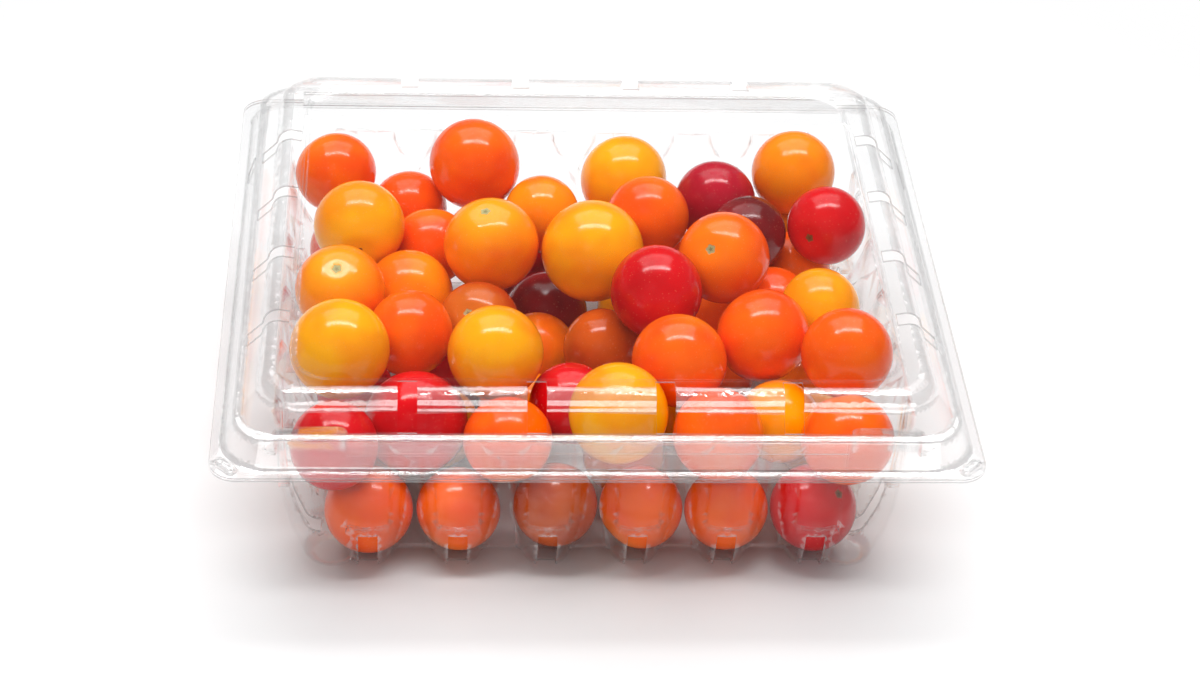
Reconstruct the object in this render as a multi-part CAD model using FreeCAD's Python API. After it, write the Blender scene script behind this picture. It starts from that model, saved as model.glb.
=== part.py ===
import FreeCAD, Part
import math
import os
from FreeCAD import Vector

# A clear hinged produce pack, closed, with its load of small round tomatoes.
# Millimetres. X is the long way, +Y points to the hinge at the back, +Z up.
# The tray stands on its feet at z = 0. Heights called "above the lip" start at lip_z.

# Formed sheet
sheet = 0.45            # wall of the formed sheet
nest_gap = 0.35         # clear space between the nested sheets of lid and tray
lip_half_x = 95.0       # lip, the widest part, from the tray's centre
lip_half_y = 88.2
lip_corner = 7.0
lip_z = 46.5            # contact plane of the two lips above the feet

# Step that lid and tray share: inset from the lip's edge, height above the lip
foot_inset = 2.8
foot_corner = 11.5
step_inset = 5.4
step_height = 8.3
step_corner = 10.0
lip_bend = 1.2          # radii of the bends, on the lid's outer side
step_bend = 1.5
bend_steps = 3

# Lid above the step
flare_inset = 6.9       # where the flare leaves the step
flare_bend = 0.9
bend_inset = 11.4
bend_height = 12.6
rim_inset = 15.6        # highest line of the rounded rim
rim_height = 16.8
rim_corner = 9.5
shoulder_bend = 2.5
shoulder_arc_steps = 5
panel_inset = 20.7      # sunk top panel, behind a short steep edge
panel_height = 15.3
panel_corner = 9.0
panel_edge_width = 1.1
panel_edge_height = 0.8
panel_bend = 0.9

# Vent slots in the lid, four a side, from the rim down to the step
slot_width = 4.8
slot_pitch_x = 31.4
slot_pitch_y = 28.6
slot_top_inset = 18.4
slot_count = 4
lock_slot_height = 5.6  # short slot low in the step, one a side, near the hinge
lock_slot_foot = 1.2

# Press buttons in the front corners of the lip
button_length = 7.0
button_width = 3.2
button_height = 1.8
button_from_edge = 2.9  # along the corner's diagonal, from the lip's edge

# Living hinge at the back
hinge_strip = 4.6       # flat strip behind the lip, one on each half
hinge_half_x = 78.0
hinge_gap = 0.3         # between the strips' ends and the fold line

# Rim and shelf of the tray
mouth_inset = 2.4       # from the top of the step to the mouth
mouth_corner = 9.0
rim_draft = 1.1
shelf_height = 0.4      # shelf inside the rim, above the lip
shelf_width = 5.2
shelf_corner = 13.0

# Lugs in the front corners of the mouth, level with the tray's top ledge
lug_start = 61.5        # from the middle
lug_end = 79.5
lug_reach = 3.6         # in from the mouth
lug_corner = 2.4

# Cavity of the tray under the shelf
rib_slope = 12.0        # height over which the ribs between the cradles lean in
rib_inset = 6.4         # from a cradle's crown to the ribs beside it
rib_corner = 9.0
floor_lift = 3.0        # floor between the cradles above the feet
floor_round = 7.0
floor_arc_steps = 4

# Cradles: tapered lobes round the wall, and troughs across the floor
cradle_radius = 11.4
cradle_pitch_x = 22.8
cradle_pitch_y = 24.5
cradle_count_x = 6
cradle_count_y = 5
cradle_draft = 1.0        # how much wider a cradle is at its top
cradle_curve_drop = 20.0  # straight part under the lip, then the wall curves in
cradle_curve_radius = 60.0
cradle_foot_round = 4.0
curve_steps = 3
foot_steps = 4
corner_cradle_radius = 13.0
cradle_setback = 1.7      # crown of a cradle behind the shelf's edge

# Pads and vents on the cradles
pad_width = 11.0
pad_proud = 0.9
pad_drop = 29.0         # bottom of the pad below the lip
vent_width = 5.0
vent_drop = 32.0        # top of the vent below the lip
vent_reach = 10.5       # how far the vent runs in from the cradle's crown

# Fruit
fruit_gap = 0.12        # clear space kept between neighbours
wall_gap = 0.4          # clear space to the tray's wall and floor
lid_clearance = 0.7     # clear space under the lid's panel
scar_radius = 0.14      # stem scar, as a share of the fruit's radius
scar_depth = 0.05

os.makedirs("parts", exist_ok=True)

tray_shift = Vector(0, -(hinge_strip - hinge_gap / 2) / 2, 0)
mouth_half_x = lip_half_x - step_inset - mouth_inset
mouth_half_y = lip_half_y - step_inset - mouth_inset
cavity_half_x = mouth_half_x - rim_draft - shelf_width
cavity_half_y = mouth_half_y - rim_draft - shelf_width
tray_top = step_height - sheet - nest_gap      # ledge of the tray above the lip
crown_x = cavity_half_x - cradle_setback
crown_y = cavity_half_y - cradle_setback
lobe_axis_x = crown_x - cradle_radius
lobe_axis_y = crown_y - cradle_radius
fold_y = lip_half_y + hinge_strip


def rounded_rectangle(half_x, half_y, corner, z):
    """Closed wire of four lines and four arcs at height z."""
    r = max(corner, 0.3)
    mid = r * (1 - math.sqrt(0.5))
    ends = [
        (half_x - r, -half_y), (half_x, -half_y + r), (half_x, half_y - r), (half_x - r, half_y),
        (-half_x + r, half_y), (-half_x, half_y - r), (-half_x, -half_y + r), (-half_x + r, -half_y),
    ]
    signs = [(1, -1), (1, 1), (-1, 1), (-1, -1)]
    edges = []
    for i, (sx, sy) in enumerate(signs):
        a = Vector(*ends[2 * i], z)
        b = Vector(*ends[2 * i + 1], z)
        after = Vector(*ends[(2 * i + 2) % 8], z)
        middle = Vector(sx * (half_x - mid), sy * (half_y - mid), z)
        edges.append(Part.Arc(a, middle, b).toShape())
        edges.append(Part.LineSegment(b, after).toShape())
    return Part.Wire(edges)


def frustum(low, high):
    """Solid between two rounded rectangles given as (half_x, half_y, corner, z)."""
    return Part.makeLoft([rounded_rectangle(*low), rounded_rectangle(*high)], True, True)


def stack(sections):
    """Solid that follows rising sections; where two share a height it has a flat ledge. Sections
    that fall again after the highest one sink a dish into its top."""
    pairs = list(zip(sections, sections[1:]))
    rising = [frustum(a, b) for a, b in pairs if b[3] - a[3] > 1e-6]
    falling = [frustum(b, a) for a, b in pairs if a[3] - b[3] > 1e-6]
    solid = rising[0].fuse(rising[1:])
    return solid.cut(falling) if falling else solid


def offset_chain(points, distance):
    """Moves a profile of (inset, height, corner) points off its outer side by distance."""
    def edge_line(a, b):
        dx = b[0] - a[0]
        dz = b[1] - a[1]
        length = math.hypot(dx, dz)
        nx = dz / length
        nz = -dx / length
        return a[0] + nx * distance, a[1] + nz * distance, dx / length, dz / length

    lines = [edge_line(a, b) for a, b in zip(points, points[1:])]
    moved = [(lines[0][0], lines[0][1])]
    for first, second in zip(lines, lines[1:]):
        x1, z1, ux, uz = first
        x2, z2, vx, vz = second
        cross = ux * vz - uz * vx
        if abs(cross) < 1e-6:
            moved.append((x2, z2))
            continue
        t = ((x2 - x1) * vz - (z2 - z1) * vx) / cross
        moved.append((x1 + t * ux, z1 + t * uz))
    last = points[-1]
    end_line = lines[-1]
    run = math.hypot(last[0] - points[-2][0], last[1] - points[-2][1])
    moved.append((end_line[0] + run * end_line[2], end_line[1] + run * end_line[3]))
    return [(x, z, p[2] - (x - p[0])) for (x, z), p in zip(moved, points)]


def sections_of(profile):
    """Profile of insets from the lip's edge as sections for stack()."""
    return [(lip_half_x - x, lip_half_y - x, corner, lip_z + z) for x, z, corner in profile]


def with_bends(points, radii):
    """Profile with its inner corners rounded; radii has one bend radius for each of them."""
    rounded = [points[0]]
    for before, corner, after, radius in zip(points, points[1:], points[2:], radii):
        into = Vector(corner[0] - before[0], corner[1] - before[1], 0).normalize()
        out = Vector(after[0] - corner[0], after[1] - corner[1], 0).normalize()
        turn = into.getAngle(out)
        reach = radius * math.tan(turn / 2)
        side = math.copysign(1, into.x * out.y - into.y * out.x)
        start = Vector(corner[0], corner[1], 0) - into * reach
        centre = start + Vector(-into.y, into.x, 0) * side * radius
        for i in range(bend_steps + 1):
            spoke = FreeCAD.Rotation(Vector(0, 0, side), math.degrees(turn * i / bend_steps))
            place = centre + spoke.multVec(start - centre)
            rounded.append((place.x, place.y, corner[2]))
    rounded.append(points[-1])
    return rounded


def step_profile(next_inset):
    """Outer face of the lid's lip and step, on to next_inset along the step's top."""
    lip_top = nest_gap / 2 + sheet
    points = [
        (0.0, lip_top, lip_corner),
        (foot_inset, lip_top, foot_corner),
        (step_inset, step_height, step_corner),
        (next_inset, step_height, step_corner),
    ]
    return with_bends(points, [lip_bend, step_bend])


def lid_profile():
    """Outer face of the lid from the lip's edge to the sunk panel."""
    across = rim_inset - bend_inset
    rise = rim_height - bend_height
    shoulder = []
    for i in range(shoulder_arc_steps + 1):
        turn = math.pi / 2 * i / shoulder_arc_steps
        shoulder.append((bend_inset + across * (1 - math.cos(turn)), bend_height + rise * math.sin(turn),
                         step_corner + (rim_corner - step_corner) * i / shoulder_arc_steps))
    steep = panel_inset - panel_edge_width
    points = step_profile(flare_inset)
    flare = with_bends([points[-2], points[-1], shoulder[0], shoulder[1]], [flare_bend, shoulder_bend])
    edge = [shoulder[-1], (steep, panel_height + panel_edge_height, panel_corner),
            (panel_inset, panel_height, panel_corner)]
    return points[:-2] + flare[:-1] + shoulder[1:-1] + with_bends(edge, [panel_bend])


def on_all_sides(make, count_x, pitch_x, count_y, pitch_y):
    """Calls make(along, side) for each place on the four sides and turns it there."""
    shapes = []
    for i in range(count_x):
        along = (i - (count_x - 1) / 2) * pitch_x
        for turn in (0, 180):
            shapes.append(turned(make(along, "x"), turn))
    for i in range(count_y):
        along = (i - (count_y - 1) / 2) * pitch_y
        for turn in (90, 270):
            shapes.append(turned(make(along, "y"), turn))
    return shapes


def turned(shape, degrees):
    copy = shape.copy()
    copy.rotate(Vector(0, 0, 0), Vector(0, 0, 1), degrees)
    return copy


def box_between(x0, x1, y0, y1, z0, z1):
    return Part.makeBox(x1 - x0, y1 - y0, z1 - z0, Vector(x0, y0, z0))


def hinge_plate(z0, z1):
    """Flat strip from under the lip to the fold line."""
    return box_between(-hinge_half_x, hinge_half_x, lip_half_y - foot_inset, fold_y - hinge_gap / 2,
                       lip_z + z0, lip_z + z1)


def button(inflate, z_base, height):
    """Oblong dome across a front corner of the lip, on the right; mirror it for the left."""
    half = button_length / 2 - button_width / 2
    radius = button_width / 2 + inflate
    centre_in = lip_corner * (1 - math.sqrt(0.5)) + button_from_edge * math.sqrt(0.5)
    pill = Part.makeCylinder(radius, height, Vector(-half, 0, 0))
    pill = pill.fuse(Part.makeCylinder(radius, height, Vector(half, 0, 0)))
    pill = pill.fuse(box_between(-half, half, -radius, radius, 0, height)).removeSplitter()
    top = [e for e in pill.Edges if e.BoundBox.ZMin > height - 0.01]
    pill = pill.makeFillet(min(radius, height) * 0.7, top)
    pill.rotate(Vector(0, 0, 0), Vector(0, 0, 1), 45)
    pill.translate(Vector(lip_half_x - centre_in, -lip_half_y + centre_in, lip_z + z_base))
    return pill


def both_front_corners(shape):
    return [shape, shape.mirror(Vector(0, 0, 0), Vector(1, 0, 0))]


def make_lid():
    outer_profile = lid_profile()
    inner_profile = offset_chain(outer_profile, sheet)
    bottom = nest_gap / 2
    outer_sections = sections_of(outer_profile)
    outer = stack([(lip_half_x, lip_half_y, lip_corner, lip_z + bottom)] + outer_sections)
    inner_sections = sections_of(inner_profile[1:])
    start = inner_sections[0]
    below = (start[0], start[1], start[2], lip_z + bottom - 1)
    inner = stack([below] + inner_sections)
    shell = outer.cut(inner)
    shell = shell.fuse(hinge_plate(bottom, bottom + sheet))
    shell = shell.fuse(both_front_corners(button(0, bottom + sheet / 2, button_height)))
    shell = shell.cut(both_front_corners(button(-sheet, bottom - 0.1, button_height - sheet / 2 + 0.1)))
    shell = shell.cut(on_all_sides(lid_slot, slot_count, slot_pitch_x, slot_count, slot_pitch_y))
    shell = shell.cut(lock_slots())
    return shell.removeSplitter()


def lid_slot(along, side):
    """Cutter for one slot in the front wall: over the rim, down to the step."""
    wall = lip_half_y if side == "x" else lip_half_x
    return box_between(along - slot_width / 2, along + slot_width / 2,
                       -wall + flare_inset + sheet, -wall + slot_top_inset,
                       lip_z + step_height + sheet / 2, lip_z + rim_height + 1)


def lock_slots():
    """One low slot on each side, under the side slot nearest the hinge."""
    along = (slot_count - 1) / 2 * slot_pitch_y
    z0 = lip_z + nest_gap / 2 + sheet + lock_slot_foot
    cutters = []
    for sign in (-1, 1):
        x0, x1 = sorted((sign * (lip_half_x - step_inset - 2 * sheet), sign * lip_half_x))
        cutters.append(box_between(x0, x1, along - slot_width / 2, along + slot_width / 2,
                                   z0, z0 + lock_slot_height))
    return cutters


def cradle(radius, inset):
    """Tapered lobe standing on its foot, round the Z axis; inset gives its inner face."""
    top = lip_z + shelf_height - 0.3 + inset
    bend = lip_z - cradle_curve_drop
    big = cradle_curve_radius
    small = cradle_foot_round
    centre_r = radius - big
    drop_to_foot = bend - small
    reach = math.sqrt((big - small) ** 2 - drop_to_foot ** 2)
    foot_centre_r = centre_r + reach
    r = radius - inset
    wide = big - inset
    tip = small - inset
    join = math.atan2(drop_to_foot, reach)

    def point(centre_x, centre_z, length, angle):
        return Vector(centre_x + length * math.cos(angle), 0, centre_z - length * math.sin(angle))

    curve = [point(centre_r, bend, wide, join * i / curve_steps) for i in range(curve_steps + 1)]
    rest = math.pi / 2 - join
    curve += [point(foot_centre_r, small, tip, join + rest * i / foot_steps) for i in range(1, foot_steps + 1)]
    head = [Vector(0, 0, top), Vector(r + cradle_draft, 0, top)]
    profile = Part.makePolygon(head + curve + [Vector(0, 0, inset), head[0]])
    return Part.Face(profile).revolve(Vector(0, 0, 0), Vector(0, 0, 1), 360)


def core_sections(inset):
    """Middle of the tray from the mouth down: rim wall, shelf, leaning ribs, rounded floor edge."""
    shelf = lip_z + shelf_height + inset
    sections = [
        (mouth_half_x, mouth_half_y, mouth_corner, lip_z + tray_top + inset),
        (mouth_half_x - rim_draft, mouth_half_y - rim_draft, mouth_corner, shelf),
        (cavity_half_x, cavity_half_y, shelf_corner, shelf),
    ]
    rib_x = crown_x - rib_inset
    rib_y = crown_y - rib_inset
    sections.append((rib_x, rib_y, rib_corner, lip_z + shelf_height - rib_slope))
    for i in range(floor_arc_steps + 1):
        turn = math.pi / 2 * i / floor_arc_steps
        pull = floor_round * (1 - math.cos(turn))
        z = floor_lift + floor_round * (1 - math.sin(turn)) + inset * i / floor_arc_steps
        sections.append((rib_x - pull, rib_y - pull, rib_corner, z))
    return [(half_x - inset, half_y - inset, corner - inset, z) for half_x, half_y, corner, z in sections]


def cavity(inset):
    """Solid of the cavity; its outer face at inset 0, its inner face at inset = sheet."""
    lobe = cradle(cradle_radius, inset)

    def side_lobe(along, side):
        copy = lobe.copy()
        copy.translate(Vector(along, -lobe_axis_y if side == "x" else -lobe_axis_x, 0))
        return copy

    def pad(along, side):
        crown = crown_y if side == "x" else crown_x
        half = pad_width / 2 - inset
        return box_between(along - half, along + half, -crown - pad_proud + inset, -crown + cradle_radius,
                           lip_z - pad_drop + inset, lip_z + shelf_height - 0.6 + inset)

    pieces = on_all_sides(side_lobe, cradle_count_x, cradle_pitch_x, cradle_count_y, cradle_pitch_y)
    pieces += on_all_sides(pad, cradle_count_x, cradle_pitch_x, cradle_count_y, cradle_pitch_y)
    corner_lobe = cradle(corner_cradle_radius, inset)
    for sx in (-1, 1):
        for sy in (-1, 1):
            copy = corner_lobe.copy()
            copy.translate(Vector(sx * (crown_x - corner_cradle_radius),
                                  sy * (crown_y - corner_cradle_radius), 0))
            pieces.append(copy)
    for i in range(cradle_count_x):
        x = (i - (cradle_count_x - 1) / 2) * cradle_pitch_x
        pieces.append(Part.makeCylinder(cradle_radius - inset, 2 * lobe_axis_y,
                                        Vector(x, -lobe_axis_y, cradle_radius), Vector(0, 1, 0)))
    return stack(core_sections(inset)[::-1]).fuse(pieces)


def vent(along, side):
    crown = (crown_y if side == "x" else crown_x) + pad_proud
    return box_between(along - vent_width / 2, along + vent_width / 2, -crown - 1, -crown + vent_reach,
                       -1, lip_z - vent_drop)


def front_lug(sign, inset):
    """Block of a front corner's lug; its face in the mouth at inset 0, its underside at sheet."""
    x0 = lug_start + inset
    x1 = lug_end - inset
    top = lip_z + tray_top - inset
    below = lip_z + shelf_height - 1 if inset else lip_z + shelf_height
    block = box_between(x0, x1, -mouth_half_y - foot_inset / 4, -mouth_half_y + lug_reach - inset, below, top)
    corners = [e for e in block.Edges
               if e.BoundBox.ZLength > 1 and e.BoundBox.YMax > -mouth_half_y]
    block = block.makeFillet(lug_corner - inset, corners)
    return block if sign > 0 else block.mirror(Vector(0, 0, 0), Vector(1, 0, 0))


def make_tray():
    step = step_profile(flare_inset)
    rim = offset_chain(step, sheet + nest_gap)
    top_face = [(0.0, rim[0][1], lip_corner)] + rim[1:]
    under = offset_chain(top_face, sheet)
    bottom = top_face[0][1] - sheet
    top_sections = sections_of(top_face[:-1])
    outer = stack([(lip_half_x, lip_half_y, lip_corner, lip_z + bottom)] + top_sections)
    under_sections = sections_of(under[1:-1])
    start = under_sections[0]
    hollow = stack([(start[0], start[1], start[2], lip_z + bottom - 1)] + under_sections)
    tray = outer.cut(hollow)
    tray = tray.fuse(cavity(0))
    tray = tray.fuse(hinge_plate(bottom, bottom + sheet))
    peak = button_height - sheet - nest_gap
    tray = tray.fuse(both_front_corners(button(-sheet - nest_gap, bottom + sheet / 2, peak)))
    tray = tray.cut(cavity(sheet).cut([front_lug(1, 0), front_lug(-1, 0)]))
    tray = tray.cut([front_lug(1, sheet), front_lug(-1, sheet)])
    tray = tray.cut(on_all_sides(vent, cradle_count_x, cradle_pitch_x, cradle_count_y, cradle_pitch_y))
    return tray.removeSplitter()


def fruit_solid(place, radius, stem):
    """Round fruit with the shallow scar of its stem; stem is the way the scar faces."""
    rim = scar_radius * radius
    rim_z = math.sqrt(radius ** 2 - rim ** 2)
    pit = Vector(0, 0, rim_z - scar_depth * radius)
    start = Vector(0, 0, -radius)
    edge = Vector(rim, 0, rim_z)
    profile = Part.Wire([
        Part.Arc(start, Vector(radius, 0, 0), edge).toShape(),
        Part.LineSegment(edge, pit).toShape(),
        Part.LineSegment(pit, start).toShape(),
    ])
    solid = Part.Face(profile).revolve(Vector(0, 0, 0), Vector(0, 0, 1), 360)
    turn = FreeCAD.Rotation(Vector(0, 0, 1), Vector(*stem))
    solid.Placement = FreeCAD.Placement(Vector(place[0], place[1], place[2] + lip_z), turn)
    return solid


def past_land(along, count, pitch, half_mouth):
    """How far a place lies from the nearest land between mouths that repeat with pitch."""
    last = (count - 1) / 2 * pitch
    nearest = min(max(round((along + last) / pitch), 0), count - 1) * pitch - last
    return max(0.0, half_mouth - abs(along - nearest))


def past_rib(along, count, pitch, half_mouth):
    """The same for a wall, where the corner's cradle follows the last one without a rib."""
    if abs(along) > (count - 1) / 2 * pitch:
        return half_mouth
    return past_land(along, count, pitch, half_mouth)


def keep_inside(p, radius):
    """Moves a fruit's centre (above the lip) off the floor, the walls and the lid."""
    r = radius + wall_gap
    floor = floor_lift + sheet - lip_z
    inner = cradle_radius - sheet
    half_trough = math.sqrt(inner ** 2 - (cradle_radius - floor_lift - sheet) ** 2)
    sunk = past_land(p[0], cradle_count_x, cradle_pitch_x, half_trough)
    p[2] = max(p[2], floor + math.sqrt(r ** 2 - sunk ** 2))
    p[2] = min(p[2], panel_height - sheet - lid_clearance - r)
    edge = shelf_height + sheet
    rib_foot = shelf_height - rib_slope
    half_cradle = math.sqrt(inner ** 2 - (cradle_radius - rib_inset) ** 2)
    sides = ((0, 1, cavity_half_x, crown_x, cradle_count_y, cradle_pitch_y),
             (1, 0, cavity_half_y, crown_y, cradle_count_x, cradle_pitch_x))
    for axis, along, shelf_edge, crown, count, pitch in sides:
        reach = math.sqrt(r ** 2 - past_rib(p[along], count, pitch, half_cradle) ** 2)
        bow = max(0.0, -p[2] - cradle_curve_drop) ** 2 / (2 * cradle_curve_radius)
        rib = crown - rib_inset - sheet
        lean = math.atan2(shelf_edge - sheet - rib, rib_slope)
        leaning = rib + ((p[2] - rib_foot) * math.sin(lean) - reach) / math.cos(lean)
        above = max(0.0, p[2] - edge)
        limit = min(max(leaning, rib - reach), shelf_edge - sheet - math.sqrt(max(0.0, r ** 2 - above ** 2)))
        if p[2] < edge:
            limit = min(limit, crown + cradle_draft - sheet - r - bow)
        p[axis] = math.copysign(min(abs(p[axis]), limit), p[axis])
    corner_x = crown_x - corner_cradle_radius
    corner_y = crown_y - corner_cradle_radius
    over_x = abs(p[0]) - corner_x
    over_y = abs(p[1]) - corner_y
    room = max(0.0, corner_cradle_radius - sheet - r)
    if over_x > 0 and over_y > 0 and math.hypot(over_x, over_y) > room:
        share = room / math.hypot(over_x, over_y)
        p[0] = math.copysign(corner_x + over_x * share, p[0])
        p[1] = math.copysign(corner_y + over_y * share, p[1])


def settle(fruits, rounds, pull):
    """Pushes fruits apart and inside the pack; a held one stays. Each of the others is drawn to
    its seed by pull, and along its line of sight only by its own share of that."""
    loose = [fruit for fruit in fruits if not fruit["held"]]
    for _ in range(rounds):
        for fruit in loose:
            p = fruit["at"]
            off = [fruit["seed"][axis] - p[axis] for axis in range(3)]
            sight = Vector(*fruit["seed"]).sub(Vector(*eye)).normalize()
            slide = sum(o * s for o, s in zip(off, sight)) * (1 - fruit["depth_share"])
            for axis in range(3):
                p[axis] += (off[axis] - slide * sight[axis]) * pull
        for i, one in enumerate(fruits):
            for other in fruits[:i]:
                push_apart(one, other)
        for fruit in loose:
            keep_inside(fruit["at"], fruit["radius"])


def push_apart(one, other):
    a = one["at"]
    b = other["at"]
    need = one["radius"] + other["radius"] + fruit_gap
    away = [a[axis] - b[axis] for axis in range(3)]
    if max(abs(value) for value in away) > need:
        return
    apart = math.hypot(*away)
    if apart >= need or one["held"] and other["held"]:
        return
    step = (need - apart) / max(apart, 0.01)
    if not one["held"] and not other["held"]:
        step /= 2
    for axis in range(3):
        if not one["held"]:
            a[axis] += away[axis] * step
        if not other["held"]:
            b[axis] -= away[axis] * step


def overlap(one, other):
    return one["radius"] + other["radius"] - math.dist(one["at"], other["at"])


def worst_overlap(fruits):
    return max(overlap(one, other) for i, one in enumerate(fruits) for other in fruits[:i])


# The load was judged from this eye point; a seen fruit slides along its line of sight more
# easily than across it, so that it stays where it was seen.
eye = (-45.0, -622.0, 426.0)
top_depth_share = 0.4     # of the pull, for fruit of the top layer and of the front's lowest row
between_low = -30.0       # fruit with heights between these two slides freely
between_high = -6.5

# Fruit seen from the front and above: colour, x, y and height of its centre above the lip, diameter.
# The places are whole millimetres judged by eye; settle() then seats each one on its neighbours.
seen_fruit = [
    ("orange", -30, 54, 0, 26), ("orange", -68, 56, -4, 23), ("amber", 62, 55, -2, 24),
    ("amber", -25, 13, 0, 26), ("yellow", 3, 10, 1, 28), ("red", 18, -10, 2, 25),
    ("orange", 39, 11, -1, 25), ("yellow", -60, 23, -1, 25), ("red", 66, 27, -2, 22),
    ("amber", -70, -5, -2, 24), ("yellow", -67, -32, -1, 26), ("orange", -48, -22, -4, 23),
    ("yellow", -24, -40, -3, 25), ("yellow", 6, -57, -4, 26), ("orange", 24, -34, -4, 25),
    ("orange", 50, -29, -3, 25), ("orange", 69, -42, -3, 24), ("orange", -46, 46, -8, 22),
    ("amber", -48, 2, -7, 24), ("brown", -29, -10, -8, 22), ("maroon", -10, 0, -12, 23),
    ("brown", 4, -20, -10, 22), ("orange", 19, 36, -4, 23), ("yellow", 14, 55, -5, 25),
    ("crimson", 40, 44, -6, 23), ("maroon", 48, 34, -9, 22), ("orange", 50, -4, -7, 23),
    ("yellow", 66, -9, -5, 22), ("orange", 35, 0, -12, 22), ("amber", -10, 43, -9, 22),
    ("orange", -41, 31, -12, 22), ("orange", 61, 24, -14, 22), ("amber", -13, -16, -14, 22),
    ("red", -5, -40, -13, 22), ("red", -45, -56, -8, 27), ("yellow", 48, -47, -10, 22),
    ("orange", 69, -54, -10, 24), ("orange", 32, -58, -13, 24), ("orange", -19, -60, -14, 23),
    ("red", -69, -61, -12, 23), ("orange", -57, -57, -34, 23), ("orange", -34, -57, -34, 22),
    ("brown", -11, -57, -34, 22), ("orange", 12, -57, -34, 22), ("orange", 34, -57, -34, 22),
    ("red", 58, -57, -34, 23),
]
hidden_colours = ("orange", "yellow", "red", "amber")
hidden_sizes = (23.0, 22.0, 23.5, 22.5, 24.0)
hidden_row_pitch = 22.8   # rows of the bottom layer behind the front one
fill_grid = 5.0           # search grid for the places left free inside the load
fill_heights = (-34.0, -26.0, -20.0, -17.0, -14.0, -11.0, -8.0)
fill_share = 0.87         # how close a fill fruit may start to its neighbours
settling = ((300, 0.5), (200, 0.2), (200, 0.08), (200, 0.03), (200, 0.0))   # rounds and pull


def bottom_rows():
    rows = []
    first = -lobe_axis_y + 3
    count = int((2 * lobe_axis_y - 3) / hidden_row_pitch)
    for row in range(1, count + 1):
        for column in range(cradle_count_x):
            x = (column - (cradle_count_x - 1) / 2) * cradle_pitch_x
            rows.append((x, first + row * hidden_row_pitch, -34.0))
    return rows


def seen(colour, x, y, height, diameter):
    share = 0.0 if between_low < height < between_high else top_depth_share
    return {"at": [x, y, height], "seed": (x, y, height), "radius": diameter / 2,
            "colour": colour, "seen": True, "held": False, "depth_share": share}


def hidden(place, number):
    radius = hidden_sizes[number % len(hidden_sizes)] / 2
    colour = hidden_colours[number % len(hidden_colours)]
    return {"at": list(place), "seed": place, "radius": radius, "colour": colour,
            "seen": False, "held": False, "depth_share": 1.0}


def free_places(fruits):
    """Places below the top layer where one more fruit fits."""
    found = []
    steps_x = int(cavity_half_x / fill_grid)
    steps_y = int(cavity_half_y / fill_grid)
    for height in fill_heights:
        for i in range(-steps_x, steps_x + 1):
            for j in range(-steps_y, steps_y + 1):
                new = hidden((i * fill_grid, j * fill_grid, height), len(found))
                keep_inside(new["at"], new["radius"])
                if abs(new["at"][0] - new["seed"][0]) + abs(new["at"][1] - new["seed"][1]) > 4:
                    continue
                near = [math.dist(new["at"], f["at"]) / (new["radius"] + f["radius"]) for f in fruits + found]
                if min(near) > fill_share:
                    new["seed"] = tuple(new["at"])
                    found.append(new)
    return found


def load_of_fruit():
    """Seen fruit first; then it is held and the hidden fruit settles in the room that is left."""
    fruits = [seen(*row) for row in seen_fruit]
    for rounds, pull in settling:
        settle(fruits, rounds, pull)
    for fruit in fruits:
        fruit["held"] = True
    fruits += [hidden(place, number) for number, place in enumerate(bottom_rows())]
    settle(fruits, 100, 0.05)
    fruits += free_places(fruits)
    for rounds, pull in settling:
        settle(fruits, rounds // 4, pull / 10)
    while worst_overlap(fruits) > 0:
        fruits.remove(max(fruits, key=lambda fruit: crowding(fruit, fruits)))
        settle(fruits, 40, 0.0)
    return fruits


def crowding(fruit, fruits):
    """How far a hidden fruit reaches into its neighbours; the fullest place loses its fruit."""
    if fruit["held"]:
        return 0.0
    return sum(max(0.0, overlap(fruit, other)) for other in fruits if other is not fruit)


def stem_way(number):
    """Way that a fruit's stem scar faces, spread evenly over the sphere by its number."""
    up = 1 - 2 * ((number * 0.618034) % 1)
    round_z = 2 * math.pi * ((number * 0.754878) % 1)
    flat = math.sqrt(1 - up * up)
    return flat * math.cos(round_z), flat * math.sin(round_z), up


def export(shape, node):
    shape.translate(tray_shift)
    shape.exportStep("parts/" + node + ".step")
    print(node, "solids", len(shape.Solids), "volume", round(shape.Volume, 1), "valid", shape.isValid())


def export_fruit():
    groups = {}
    fruits = load_of_fruit()
    print("fruits", len(fruits), "worst overlap", round(worst_overlap(fruits), 3))
    for number, fruit in enumerate(fruits):
        solid = fruit_solid(fruit["at"], fruit["radius"], stem_way(number))
        if fruit["seen"]:
            export(solid, "tomato_%02d_%s" % (number + 1, fruit["colour"]))
        else:
            groups.setdefault(fruit["colour"], []).append(solid)
    for colour, solids in groups.items():
        export(Part.makeCompound(solids), "inner_tomatoes_" + colour)


export_fruit()
export(make_lid(), "lid")
export(make_tray(), "tray")
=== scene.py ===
import math

import bmesh
import bpy
from mathutils import Matrix, Vector


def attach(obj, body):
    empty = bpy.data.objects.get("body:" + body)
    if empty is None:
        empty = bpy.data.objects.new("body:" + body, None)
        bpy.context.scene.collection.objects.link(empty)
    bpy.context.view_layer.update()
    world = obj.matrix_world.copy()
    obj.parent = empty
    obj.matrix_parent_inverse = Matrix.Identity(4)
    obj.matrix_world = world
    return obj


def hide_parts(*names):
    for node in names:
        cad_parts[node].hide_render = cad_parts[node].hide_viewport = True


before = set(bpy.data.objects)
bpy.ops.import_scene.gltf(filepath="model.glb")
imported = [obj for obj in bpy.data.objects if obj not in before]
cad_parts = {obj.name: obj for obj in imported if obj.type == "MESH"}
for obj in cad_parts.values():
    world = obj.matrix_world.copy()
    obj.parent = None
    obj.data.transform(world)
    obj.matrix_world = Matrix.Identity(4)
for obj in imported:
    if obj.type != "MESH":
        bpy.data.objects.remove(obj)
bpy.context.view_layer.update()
print("frame loaded:", len(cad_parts), "nodes")

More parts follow.
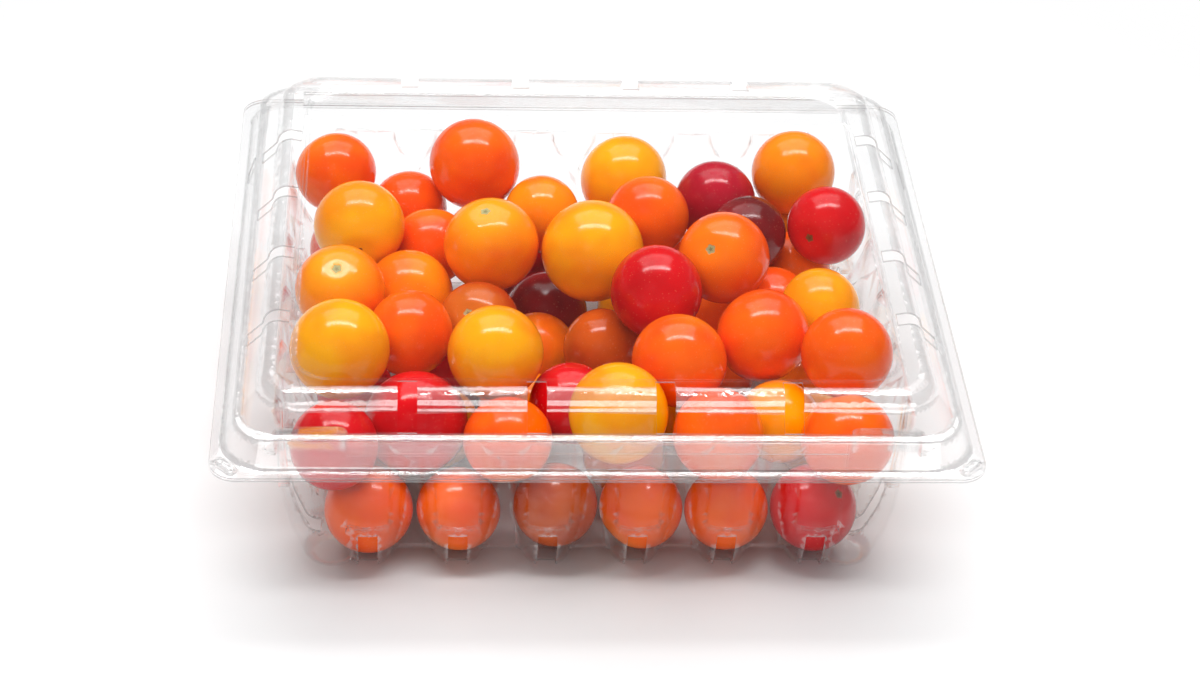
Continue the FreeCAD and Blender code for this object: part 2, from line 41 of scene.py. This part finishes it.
mergeGap = 0.000002     # metres; the corners of CAD faces that lie closer than this are one


def deselectAll():
    if bpy.context.object and bpy.context.object.mode != "OBJECT":
        bpy.ops.object.mode_set(mode="OBJECT")
    bpy.ops.object.select_all(action="DESELECT")


def makeActive(obj):
    deselectAll()
    obj.select_set(True)
    bpy.context.view_layer.objects.active = obj


def newMaterial(name):
    material = bpy.data.materials.new(name)
    material.use_nodes = True
    material.node_tree.nodes.clear()
    return material, material.node_tree


def addNode(tree, kind, place=(0, 0), **settings):
    node = tree.nodes.new(kind)
    node.location = place
    for name, value in settings.items():
        setattr(node, name, value)
    return node


def setInputs(node, values):
    for name, value in values.items():
        node.inputs[name].default_value = value


# a value is either a constant or the output of another node
def feed(tree, socket, value):
    if hasattr(value, "is_output"):
        tree.links.new(value, socket)
    else:
        socket.default_value = value


def addMath(tree, operation, values, place=(0, 0)):
    node = addNode(tree, "ShaderNodeMath", place, operation=operation)
    for socket, value in zip(node.inputs, values):
        feed(tree, socket, value)
    return node.outputs[0]


def addRamp(tree, value, span, place=(0, 0)):
    node = addNode(tree, "ShaderNodeMapRange", place, interpolation_type="SMOOTHSTEP")
    tree.links.new(value, node.inputs["Value"])
    setInputs(node, {"From Min": span[0], "From Max": span[1]})
    return node.outputs["Result"]


def addNoise(tree, coords, values, place=(0, 0)):
    node = addNode(tree, "ShaderNodeTexNoise", place)
    setInputs(node, values)
    tree.links.new(coords.outputs["Object"], node.inputs["Vector"])
    return node


def mixColours(tree, factor, first, second, place=(0, 0)):
    node = addNode(tree, "ShaderNodeMix", place, data_type="RGBA")
    factorSocket, firstSocket, secondSocket = (node.inputs[index] for index in (0, 6, 7))
    feed(tree, factorSocket, factor)
    feed(tree, firstSocket, first)
    feed(tree, secondSocket, second)
    return node.outputs[2]


def mixShaders(tree, factor, first, second, place=(0, 0)):
    node = addNode(tree, "ShaderNodeMixShader", place)
    feed(tree, node.inputs[0], factor)
    tree.links.new(first.outputs[0], node.inputs[1])
    tree.links.new(second.outputs[0], node.inputs[2])
    return node


def addSockets(group, inlets, outlets):
    for way, sockets in (("INPUT", inlets), ("OUTPUT", outlets)):
        for name, kind in sockets.items():
            group.interface.new_socket(name, in_out=way, socket_type="NodeSocket" + kind)
    return addNode(group, "NodeGroupInput", (-1500, 0)), addNode(group, "NodeGroupOutput", (900, 0))


sheetLook = {
    "smoothAngle": 32,      # degrees, as are the other angles
    "flatAngle": 3,         # faces that meet at less than this are one flat or gentle face
    "rimAngle": 60,
    "rimWidth": 0.0007,     # metres; a narrower face beside a sharp edge is a cut rim
    "bendCurve": 260,       # radians per metre; a face that turns more is part of a bend
    "bendWidth": 0.0016,
    "creaseAngle": 14,
    "creaseWidth": 0.0016,
    "flatWeight": 100,
    "clearColour": (0.998, 0.998, 0.998, 1),
    "lampColour": (0.925, 0.925, 0.925, 1),     # what one face lets through of the lamps' light
    "milkRoughness": 0.3,
    "waves": {"Detail": 1.5, "Roughness": 0.4},
    "spots": {"Scale": 150, "Detail": 3, "Roughness": 0.75},
    "spotEdge": (0.50, 0.53),
}
# flat and gently curved faces, tight bends, and the cut rims of slots and lips; headOn and edgeOn are
# the shares mirrored square on and at a glancing angle, and dulled is what the dull spots add
sheetFinishes = {
    "flat": {"roughness": 0.03, "dulled": 0.0, "headOn": 0.024, "edgeOn": 0.6, "edgePower": 5.0,
             "milkAndPaintedShadeShare": 0.001, "milkAndPaintedShadeColour": (0.93, 0.94, 0.95, 1),
             "waveScale": 90, "waveDepth": 0.12, "waveReach": 0.0004},
    "bend": {"roughness": 0.03, "dulled": 0.22, "headOn": 0.11, "edgeOn": 0.6, "edgePower": 3.0,
             "milkAndPaintedShadeShare": 0.07, "milkAndPaintedShadeColour": (0.72, 0.73, 0.74, 1),
             "waveScale": 420, "waveDepth": 0.8, "waveReach": 0.0003},
    # the rim's grey milk is painted shade, standing for the dark lines that cut edges show
    "rim": {"roughness": 0.15, "dulled": 0.0, "headOn": 0.08, "edgeOn": 0.6, "edgePower": 3.0,
            "milkAndPaintedShadeShare": 0.4, "milkAndPaintedShadeColour": (0.42, 0.43, 0.44, 1),
            "waveScale": 90, "waveDepth": 0.2, "waveReach": 0.0004},
}


def buildWaveGroup(look):
    group = bpy.data.node_groups.new("formedSheetWaves", "ShaderNodeTree")
    inlets = dict.fromkeys(("Scale", "Depth", "Reach", "Roughness", "Dulled"), "Float")
    inlet, outlet = addSockets(group, inlets, {"Normal": "Vector", "Roughness": "Float"})
    coords = addNode(group, "ShaderNodeTexCoord", (-700, -200))
    noise = addNoise(group, coords, look["waves"], (-400, 0))
    bump = addNode(group, "ShaderNodeBump", (200, 0))
    group.links.new(inlet.outputs["Scale"], noise.inputs["Scale"])
    group.links.new(inlet.outputs["Depth"], bump.inputs["Strength"])
    group.links.new(inlet.outputs["Reach"], bump.inputs["Distance"])
    group.links.new(noise.outputs["Fac"], bump.inputs["Height"])
    group.links.new(bump.outputs["Normal"], outlet.inputs["Normal"])
    # dull spots break a highlight into short beads
    spots = addNoise(group, coords, look["spots"], (-400, -400))
    dull = addRamp(group, spots.outputs["Fac"], look["spotEdge"], (-200, -400))
    dulling = (dull, inlet.outputs["Dulled"], inlet.outputs["Roughness"])
    rough = addMath(group, "MULTIPLY_ADD", dulling, (0, -400))
    group.links.new(rough, outlet.inputs["Roughness"])
    return group


waveGroup = buildWaveGroup(sheetLook)


def makeSheetMaterial(name, look):
    material, tree = newMaterial(name)
    outlet = addNode(tree, "ShaderNodeOutputMaterial", (900, 0))
    waves = addNode(tree, "ShaderNodeGroup", (-900, -200), node_tree=waveGroup)
    setInputs(waves, {"Scale": look["waveScale"], "Depth": look["waveDepth"], "Reach": look["waveReach"],
                      "Roughness": look["roughness"], "Dulled": look["dulled"]})
    # each face mirrors little square on and much at a glancing angle
    facing = addNode(tree, "ShaderNodeLayerWeight", (-700, 300))
    tree.links.new(waves.outputs["Normal"], facing.inputs["Normal"])
    glance = addMath(tree, "POWER", (facing.outputs["Facing"], look["edgePower"]), (-500, 300))
    rise = look["edgeOn"] - look["headOn"]
    mirrored = addMath(tree, "MULTIPLY_ADD", (glance, rise, look["headOn"]), (-300, 300))
    shine = addNode(tree, "ShaderNodeBsdfGlossy", (-300, 0))
    setInputs(shine, {"Color": (1, 1, 1, 1)})
    tree.links.new(waves.outputs["Roughness"], shine.inputs["Roughness"])
    tree.links.new(waves.outputs["Normal"], shine.inputs["Normal"])
    clear = addNode(tree, "ShaderNodeBsdfTransparent", (-300, 120))
    setInputs(clear, {"Color": sheetLook["clearColour"]})
    film = mixShaders(tree, mirrored, clear, shine, (0, 100))
    # the milk is a pale haze on flat faces and bends; on the cut rims its grey is painted shade
    milkAndShade = addNode(tree, "ShaderNodeBsdfPrincipled", (-300, -200))
    setInputs(milkAndShade, {"Base Color": look["milkAndPaintedShadeColour"], "Roughness": sheetLook["milkRoughness"]})
    milkyAndShaded = mixShaders(tree, look["milkAndPaintedShadeShare"], film, milkAndShade, (250, 0))
    # lamps shine through the sheet, so that the fruit inside stays bright
    passing = addNode(tree, "ShaderNodeBsdfTransparent", (250, -300))
    setInputs(passing, {"Color": sheetLook["lampColour"]})
    light = addNode(tree, "ShaderNodeLightPath", (0, 500))
    rays = (light.outputs["Is Shadow Ray"], light.outputs["Is Diffuse Ray"])
    through = addMath(tree, "MAXIMUM", rays, (250, 300))
    sheet = mixShaders(tree, through, milkyAndShaded, passing, (650, 0))
    tree.links.new(sheet.outputs[0], outlet.inputs["Surface"])
    return material


sheetMaterials = [makeSheetMaterial("clearSheet_" + name, look) for name, look in sheetFinishes.items()]


# cut rims and tight bends mirror more light than the flat faces, and the cut rims also carry painted shade
# as grey milk
def sortFaces(mesh, look):
    reader = bmesh.new()
    reader.from_mesh(mesh)
    flat, bend, rim = range(len(sheetFinishes))
    finish = [flat] * len(reader.faces)
    for edge in reader.edges:
        if len(edge.link_faces) != 2:
            continue
        angle = edge.calc_face_angle(0)
        if angle < math.radians(look["flatAngle"]):
            continue
        length = edge.calc_length()
        widths = [2 * face.calc_area() / length for face in edge.link_faces]
        isRim = angle > math.radians(look["rimAngle"])
        isBend = angle / (sum(widths) / 2) > look["bendCurve"]
        for face, width in zip(edge.link_faces, widths):
            if isRim and width < look["rimWidth"]:
                finish[face.index] = rim
            elif isBend and not isRim and width < look["bendWidth"]:
                finish[face.index] = max(finish[face.index], bend)
            elif angle > math.radians(look["creaseAngle"]) and width < look["creaseWidth"]:
                finish[face.index] = max(finish[face.index], bend)
    reader.free()
    mesh.polygons.foreach_set("material_index", finish)
    return finish


def mergedCopy(node, name):
    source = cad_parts[node]
    copy = bpy.data.objects.new(name, source.data.copy())
    bpy.context.scene.collection.objects.link(copy)
    copy.matrix_world = source.matrix_world.copy()
    makeActive(copy)
    bpy.ops.object.mode_set(mode="EDIT")
    bpy.ops.mesh.select_all(action="SELECT")
    bpy.ops.mesh.remove_doubles(threshold=mergeGap)
    bpy.ops.object.mode_set(mode="OBJECT")
    return copy


def dressSheet(node, name, body):
    copy = mergedCopy(node, name)
    bpy.ops.object.shade_smooth_by_angle(angle=math.radians(sheetLook["smoothAngle"]))
    # large flat faces keep their own normals, so that only the bends shade round
    weighted = copy.modifiers.new("flatFaces", "WEIGHTED_NORMAL")
    weighted.mode = "FACE_AREA"
    weighted.weight = sheetLook["flatWeight"]
    weighted.keep_sharp = True
    bpy.ops.object.modifier_apply(modifier=weighted.name)
    copy.data.materials.clear()
    for material in sheetMaterials:
        copy.data.materials.append(material)
    finish = sortFaces(copy.data, sheetLook)
    shares = [finish.count(index) for index in range(len(sheetFinishes))]
    print(name, "faces as flat, bend and rim:", shares)
    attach(copy, body)
    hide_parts(node)
    return copy


sheetPieces = bpy.data.collections.new("sheetPieces")
for piece in (dressSheet("lid", "lidShell", "cover"), dressSheet("tray", "trayShell", "base")):
    sheetPieces.objects.link(piece)
print("clear sheet dressed")

# skin colours, each with a deeper tint for its cloudy patches and the tint of its stem end
skins = {
    "orange": {"Skin": (0.95, 0.125, 0.001, 1), "Deep": (0.88, 0.075, 0.001, 1),
               "Crown": (0.97, 0.22, 0.003, 1), "Scar": (0.36, 0.32, 0.14, 1)},
    "amber": {"Skin": (0.96, 0.25, 0.001, 1), "Deep": (0.92, 0.15, 0.001, 1),
              "Crown": (0.97, 0.38, 0.006, 1), "Scar": (0.42, 0.38, 0.16, 1)},
    "yellow": {"Skin": (0.96, 0.39, 0.002, 1), "Deep": (0.93, 0.27, 0.001, 1),
               "Crown": (0.97, 0.47, 0.01, 1), "Scar": (0.14, 0.07, 0.015, 1)},
    "red": {"Skin": (0.66, 0.004, 0.008, 1), "Deep": (0.50, 0.002, 0.005, 1),
            "Crown": (0.70, 0.012, 0.012, 1), "Scar": (0.22, 0.08, 0.02, 1)},
    "crimson": {"Skin": (0.46, 0.008, 0.025, 1), "Deep": (0.34, 0.004, 0.014, 1),
                "Crown": (0.52, 0.02, 0.03, 1), "Scar": (0.22, 0.08, 0.02, 1)},
    "brown": {"Skin": (0.58, 0.09, 0.006, 1), "Deep": (0.44, 0.045, 0.004, 1),
              "Crown": (0.62, 0.15, 0.012, 1), "Scar": (0.42, 0.34, 0.16, 1)},
    "maroon": {"Skin": (0.24, 0.012, 0.014, 1), "Deep": (0.13, 0.006, 0.007, 1),
               "Crown": (0.30, 0.03, 0.02, 1), "Scar": (0.22, 0.12, 0.04, 1)},
}
# the scar's, pith's and ring's edges are shares of the fruit's radius
skinLook = {
    "clouds": {"Scale": 70, "Detail": 2},
    "cloudEdge": (0.35, 0.70),
    "cloudHeight": 0.25,
    "crownEdge": (0.35, 1.0),
    "crownShare": 0.7,
    "speckScale": 900,
    "speckEdge": (0.22, 0.05),
    "speckShare": 0.10,
    "speckColour": (1.0, 0.72, 0.4, 1),
    "starPoints": 5,
    "starDepth": 0.012,
    "scarEdge": (0.115, 0.085),
    "scarHeight": -0.6,
    "pithEdge": (0.05, 0.03),
    "pithShare": 0.6,
    "pithColour": (0.06, 0.035, 0.01, 1),
    "ringEdge": (0.34, 0.10),
    "ringShare": 0.5,
    "roughness": 0.15,
    "cloudRoughness": 0.05,
    "scarRoughness": 0.5,
    "bump": {"Strength": 0.35, "Distance": 0.0006},
    "shine": {"IOR": 1.38, "Coat Weight": 0.06, "Coat Roughness": 0.1},
}
fruitForm = {
    "segments": 48,
    "rings": 28,
    "radiusShare": 0.995,   # of the CAD solid's, so that touching fruit stay apart
    "flattening": 0.97,
    "dimpleTop": 0.999,
    "dimpleDepth": 0.07,
    "dimpleReach": 0.45,
}


def buildSkinGroup(look):
    group = bpy.data.node_groups.new("tomatoSkin", "ShaderNodeTree")
    inlets = dict.fromkeys(("Skin", "Deep", "Crown", "Scar"), "Color")
    inlet, outlet = addSockets(group, inlets, {"Color": "Color", "Roughness": "Float", "Height": "Float"})
    place = addNode(group, "ShaderNodeAttribute", (-1500, -300), attribute_name="fruitSpace")
    coords = addNode(group, "ShaderNodeTexCoord", (-1500, -600))
    parts = addNode(group, "ShaderNodeSeparateXYZ", (-1300, -300))
    group.links.new(place.outputs["Vector"], parts.inputs[0])
    alongX, alongY, alongZ = parts.outputs
    # cloudy changes of tone, different on each fruit
    clouds = addNoise(group, coords, look["clouds"], (-1200, -600))
    patchy = addRamp(group, clouds.outputs["Fac"], look["cloudEdge"], (-1000, -600))
    body = mixColours(group, patchy, inlet.outputs["Skin"], inlet.outputs["Deep"], (-700, 100))
    crown = addRamp(group, alongZ, look["crownEdge"], (-1000, -200))
    crown = addMath(group, "MULTIPLY", (crown, look["crownShare"]), (-800, -200))
    body = mixColours(group, crown, body, inlet.outputs["Crown"], (-450, 100))
    # pale fine specks in the skin
    specks = addNode(group, "ShaderNodeTexVoronoi", (-1200, -950), feature="F1")
    setInputs(specks, {"Scale": look["speckScale"]})
    group.links.new(coords.outputs["Object"], specks.inputs["Vector"])
    speckle = addRamp(group, specks.outputs["Distance"], look["speckEdge"], (-1000, -950))
    speckle = addMath(group, "MULTIPLY", (speckle, look["speckShare"]), (-800, -950))
    body = mixColours(group, speckle, body, look["speckColour"], (-200, 100))
    # stem scar: a small corky disc with a darker middle, in a yellow ring
    sideX = addMath(group, "MULTIPLY", (alongX, alongX))
    sideY = addMath(group, "MULTIPLY", (alongY, alongY))
    reach = addMath(group, "SQRT", (addMath(group, "ADD", (sideX, sideY)),))
    angle = addMath(group, "ARCTAN2", (alongY, alongX))
    star = addMath(group, "SINE", (addMath(group, "MULTIPLY", (angle, look["starPoints"])),))
    starReach = addMath(group, "ADD", (reach, addMath(group, "MULTIPLY", (star, look["starDepth"]))))
    upper = addMath(group, "GREATER_THAN", (alongZ, 0.0))
    scar = addMath(group, "MULTIPLY", (addRamp(group, starReach, look["scarEdge"]), upper))
    pith = addMath(group, "MULTIPLY", (addRamp(group, starReach, look["pithEdge"]), upper))
    pith = addMath(group, "MULTIPLY", (pith, look["pithShare"]))
    ring = addMath(group, "MULTIPLY", (addRamp(group, starReach, look["ringEdge"]), upper))
    ring = addMath(group, "MULTIPLY", (ring, look["ringShare"]))
    body = mixColours(group, ring, body, inlet.outputs["Crown"], (150, 100))
    body = mixColours(group, scar, body, inlet.outputs["Scar"], (350, 100))
    body = mixColours(group, pith, body, look["pithColour"], (550, 100))
    group.links.new(body, outlet.inputs["Color"])
    rough = addMath(group, "MULTIPLY_ADD", (patchy, look["cloudRoughness"], look["roughness"]))
    rough = addMath(group, "MULTIPLY_ADD", (scar, look["scarRoughness"], rough))
    group.links.new(rough, outlet.inputs["Roughness"])
    height = addMath(group, "MULTIPLY", (clouds.outputs["Fac"], look["cloudHeight"]))
    height = addMath(group, "MULTIPLY_ADD", (scar, look["scarHeight"], height))
    group.links.new(height, outlet.inputs["Height"])
    return group


skinGroup = buildSkinGroup(skinLook)


def makeSkinMaterial(name, colours, look):
    material, tree = newMaterial("tomatoSkin_" + name)
    outlet = addNode(tree, "ShaderNodeOutputMaterial", (500, 0))
    shader = addNode(tree, "ShaderNodeBsdfPrincipled", (200, 0))
    setInputs(shader, look["shine"])
    skin = addNode(tree, "ShaderNodeGroup", (-300, 0), node_tree=skinGroup)
    setInputs(skin, colours)
    bump = addNode(tree, "ShaderNodeBump", (0, -300))
    setInputs(bump, look["bump"])
    tree.links.new(skin.outputs["Height"], bump.inputs["Height"])
    tree.links.new(skin.outputs["Color"], shader.inputs["Base Color"])
    tree.links.new(skin.outputs["Roughness"], shader.inputs["Roughness"])
    tree.links.new(bump.outputs["Normal"], shader.inputs["Normal"])
    tree.links.new(shader.outputs[0], outlet.inputs["Surface"])
    return material


skinMaterials = {name: makeSkinMaterial(name, colours, skinLook) for name, colours in skins.items()}


def makeFruitTemplate(form):
    deselectAll()
    bpy.ops.mesh.primitive_uv_sphere_add(segments=form["segments"], ring_count=form["rings"], radius=1)
    fruit = bpy.context.object
    mesh = fruit.data
    space = mesh.attributes.new("fruitSpace", "FLOAT_VECTOR", "POINT")
    space.data.foreach_set("vector", [c for v in mesh.vertices for c in v.co])
    # the stem end is drawn in to a shallow dimple
    bpy.ops.object.mode_set(mode="EDIT")
    bpy.ops.mesh.select_mode(type="VERT")
    bpy.ops.mesh.select_all(action="DESELECT")
    bpy.ops.object.mode_set(mode="OBJECT")
    for vertex in mesh.vertices:
        vertex.select = vertex.co.z > form["dimpleTop"]
    bpy.ops.object.mode_set(mode="EDIT")
    bpy.ops.transform.translate(value=(0, 0, -form["dimpleDepth"]), use_proportional_edit=True,
                                proportional_edit_falloff="SMOOTH", proportional_size=form["dimpleReach"])
    bpy.ops.mesh.select_all(action="SELECT")
    bpy.ops.transform.resize(value=(1, 1, form["flattening"]))
    bpy.ops.object.mode_set(mode="OBJECT")
    bpy.ops.object.shade_smooth()
    return fruit


template = makeFruitTemplate(fruitForm)


# fruit whose stem end can be seen from the front
stemWays = {
    "tomato_04_amber": Vector((-0.15, -0.11, 0.98)),
    "tomato_07_orange": Vector((-0.41, -0.63, 0.66)),
    "tomato_08_yellow": Vector((0.0, -1.0, -0.09)),
    "tomato_09_red": Vector((-0.57, -0.81, 0.12)),
    "tomato_10_amber": Vector((-0.06, -0.43, 0.90)),
    "tomato_20_brown": Vector((-0.30, -0.61, 0.73)),
    "tomato_46_red": Vector((0.54, -0.40, 0.74)),
}
# these shares of a turn never repeat, so the fruit's ways spread evenly without random numbers
stemSpread = {"rise": 0.618034, "way": 0.754878, "front": Vector((0, -0.81, 0.58))}


# the other stem ends lie away from the front of the pack
def stemTurn(number, spread):
    up = 1 - 2 * ((number * spread["rise"]) % 1)
    way = 2 * math.pi * ((number * spread["way"]) % 1)
    flat = math.sqrt(1 - up * up)
    turned = Vector((flat * math.cos(way), flat * math.sin(way), up))
    return -turned if turned.dot(spread["front"]) > 0 else turned


def placeFruit(name, centre, radius, way, colour):
    mesh = template.data.copy()
    obj = bpy.data.objects.new(name, mesh)
    bpy.context.scene.collection.objects.link(obj)
    turn = way.to_track_quat("Z", "Y").to_matrix().to_4x4()
    mesh.transform(Matrix.Translation(centre) @ turn @ Matrix.Scale(radius, 4))
    mesh.materials.clear()
    mesh.materials.append(skinMaterials[colour])
    return obj


# centre and radius of each loose part of a CAD node
def solidCentres(node):
    mergedCopy(node, "scratch")
    bpy.ops.mesh.separate(type="LOOSE")
    found = []
    for part in list(bpy.context.selected_objects):
        low = Vector((min(v.co[i] for v in part.data.vertices) for i in range(3)))
        high = Vector((max(v.co[i] for v in part.data.vertices) for i in range(3)))
        found.append(((low + high) / 2, max(high - low) / 2))
        bpy.data.objects.remove(part)
    return sorted(found, key=lambda item: tuple(item[0]))


count = 0
fruitPieces = bpy.data.collections.new("fruitPieces")
for node in sorted(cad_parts):
    if "tomato" not in node:
        continue
    colour = node.split("_")[-1]
    parts = []
    for centre, radius in solidCentres(node):
        count += 1
        way = stemWays.get(node, stemTurn(count, stemSpread))
        parts.append(placeFruit("fruit", centre, radius * fruitForm["radiusShare"], way, colour))
    deselectAll()
    for part in parts:
        part.select_set(True)
    bpy.context.view_layer.objects.active = parts[0]
    if len(parts) > 1:
        bpy.ops.object.join()
    whole = bpy.context.view_layer.objects.active
    whole.name = "skin_" + node
    fruitPieces.objects.link(whole)
    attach(whole, "base")
    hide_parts(node)
bpy.data.objects.remove(template)
print("fruit placed:", count)

stageLook = {
    "floorSize": 8.0,
    "floorDrop": 0.0002,    # keeps the floor clear of the feet's own faces
    "floorColour": (0.76, 0.765, 0.77, 1),
    "floorRoughness": 0.45,
    "backColour": (1.0, 1.0, 1.0, 1),
    "backStrength": 1.0,
    "clearEdge": (0.13, 0.30),      # metres from the pack's middle, where the floor turns to the backdrop
    "worldAbove": 0.62,
    "worldBeside": 0.09,
    "worldTop": 0.8,        # height of the direction from which the fill is full
    "worldGloss": 0.09,
    "clearFaces": 24,       # a look through the pack meets many faces of clear sheet
}


def makeFloor(look):
    deselectAll()
    bpy.ops.mesh.primitive_plane_add(size=look["floorSize"], location=(0, 0, 0))
    bpy.ops.transform.translate(value=(0, 0, -look["floorDrop"]))
    bpy.ops.object.transform_apply(location=True)
    floor = bpy.context.object
    floor.name = "floorSweep"
    material, tree = newMaterial("paleFloor")
    outlet = addNode(tree, "ShaderNodeOutputMaterial", (700, 0))
    shader = addNode(tree, "ShaderNodeBsdfPrincipled", (0, 0))
    setInputs(shader, {"Base Color": look["floorColour"], "Roughness": look["floorRoughness"]})
    glow = addNode(tree, "ShaderNodeEmission", (0, -400))
    setInputs(glow, {"Color": look["backColour"], "Strength": look["backStrength"]})
    light = addNode(tree, "ShaderNodeLightPath", (-600, 300))
    seen = addMath(tree, "MAXIMUM", (light.outputs["Is Camera Ray"], light.outputs["Is Transmission Ray"]))
    seen = addMath(tree, "MAXIMUM", (seen, light.outputs["Is Glossy Ray"]))
    coords = addNode(tree, "ShaderNodeTexCoord", (-900, -200))
    length = addNode(tree, "ShaderNodeVectorMath", (-700, -200), operation="LENGTH")
    tree.links.new(coords.outputs["Object"], length.inputs[0])
    away = addRamp(tree, length.outputs["Value"], look["clearEdge"], (-500, -200))
    share = addMath(tree, "MULTIPLY", (seen, away))
    mix = mixShaders(tree, share, shader, glow, (450, 0))
    tree.links.new(mix.outputs[0], outlet.inputs["Surface"])
    floor.data.materials.append(material)


makeFloor(stageLook)


def addBackground(tree, colour, strength, place):
    node = addNode(tree, "ShaderNodeBackground", place)
    setInputs(node, {"Color": colour, "Strength": strength})
    return node


def makeWorld(look):
    world = bpy.data.worlds.new("studio")
    bpy.context.scene.world = world
    world.use_nodes = True
    tree = world.node_tree
    tree.nodes.clear()
    outlet = addNode(tree, "ShaderNodeOutputWorld", (600, 0))
    # the fill comes more from above than from beside
    coords = addNode(tree, "ShaderNodeTexCoord", (-900, 100))
    parts = addNode(tree, "ShaderNodeSeparateXYZ", (-700, 100))
    tree.links.new(coords.outputs["Generated"], parts.inputs[0])
    height = addNode(tree, "ShaderNodeMapRange", (-450, 100))
    strengths = {"To Min": look["worldBeside"], "To Max": look["worldAbove"]}
    setInputs(height, {"From Max": look["worldTop"], **strengths})
    tree.links.new(parts.outputs["Z"], height.inputs["Value"])
    fill = addBackground(tree, look["backColour"], look["worldAbove"], (0, 100))
    tree.links.new(height.outputs["Result"], fill.inputs["Strength"])
    gloss = addBackground(tree, look["backColour"], look["worldGloss"], (0, 300))
    back = addBackground(tree, look["backColour"], look["backStrength"], (0, -100))
    light = addNode(tree, "ShaderNodeLightPath", (-300, 200))
    lit = mixShaders(tree, light.outputs["Is Glossy Ray"], fill, gloss, (200, 200))
    seen = addMath(tree, "MAXIMUM", (light.outputs["Is Camera Ray"], light.outputs["Is Transmission Ray"]))
    mix = mixShaders(tree, seen, lit, back, (350, 0))
    tree.links.new(mix.outputs[0], outlet.inputs["Surface"])


makeWorld(stageLook)

# the front panel only shows as the pale veil on the sheet's front, the strip gives the highlights on
# top, and the front box only lights the fruit
lamps = {
    "frontPanel": {"place": (0.1, -1.4, 0.36), "size": (2.4, 0.7), "power": 14,
                   "diffuse": False, "glossy": True, "lights": sheetPieces},
    "overheadStrip": {"place": (0, 0.10, 1.2), "size": (1.3, 0.16), "power": 12,
                      "diffuse": True, "glossy": True, "lights": None},
    "overheadBox": {"place": (0, 0.75, 1.3), "size": (1.6, 1.0), "power": 11,
                    "diffuse": True, "glossy": True, "lights": None},
    "frontBox": {"place": (-0.4, -1.1, 1.2), "size": (0.7, 0.5), "power": 9,
                 "diffuse": True, "glossy": False, "lights": fruitPieces},
}
lampAim = Vector((0, 0, 0.03))


def makeLamp(name, look):
    data = bpy.data.lights.new(name, "AREA")
    data.shape = "RECTANGLE"
    data.size, data.size_y = look["size"]
    data.energy = look["power"]
    lamp = bpy.data.objects.new(name, data)
    bpy.context.scene.collection.objects.link(lamp)
    place = Vector(look["place"])
    lamp.location = place
    lamp.rotation_mode = "QUATERNION"
    lamp.rotation_quaternion = (lampAim - place).to_track_quat("-Z", "Y")
    lamp.visible_diffuse = look["diffuse"]
    lamp.visible_glossy = look["glossy"]
    lamp.visible_camera = False
    if look["lights"]:
        lamp.light_linking.receiver_collection = look["lights"]


for name, look in lamps.items():
    makeLamp(name, look)
print("lamps placed:", len(lamps))

cameraLook = {
    "place": (-0.04543, -0.62392, 0.47278),
    "yaw": 4.624,
    "pitch": 35.616,
    "roll": 2.984,
    "lens": 84.7,
    "sensor": 36,
}


def makeCamera(look):
    data = bpy.data.cameras.new("photoCamera")
    data.lens = look["lens"]
    data.sensor_width = look["sensor"]
    data.dof.use_dof = False
    camera = bpy.data.objects.new("photoCamera", data)
    bpy.context.scene.collection.objects.link(camera)
    yaw, pitch, roll = (math.radians(look[key]) for key in ("yaw", "pitch", "roll"))
    forward = Vector((math.sin(yaw) * math.cos(pitch), math.cos(yaw) * math.cos(pitch), -math.sin(pitch)))
    right = Vector((math.cos(yaw), -math.sin(yaw), 0))
    up = right.cross(forward)
    sideways = right * math.cos(roll) + up * math.sin(roll)
    upright = up * math.cos(roll) - right * math.sin(roll)
    turn = Matrix((sideways, upright, -forward)).transposed().to_4x4()
    camera.matrix_world = Matrix.Translation(look["place"]) @ turn
    bpy.context.scene.camera = camera


makeCamera(cameraLook)
bpy.context.scene.view_settings.view_transform = "Standard"
bpy.context.scene.cycles.transparent_max_bounces = stageLook["clearFaces"]

print("scene ready")
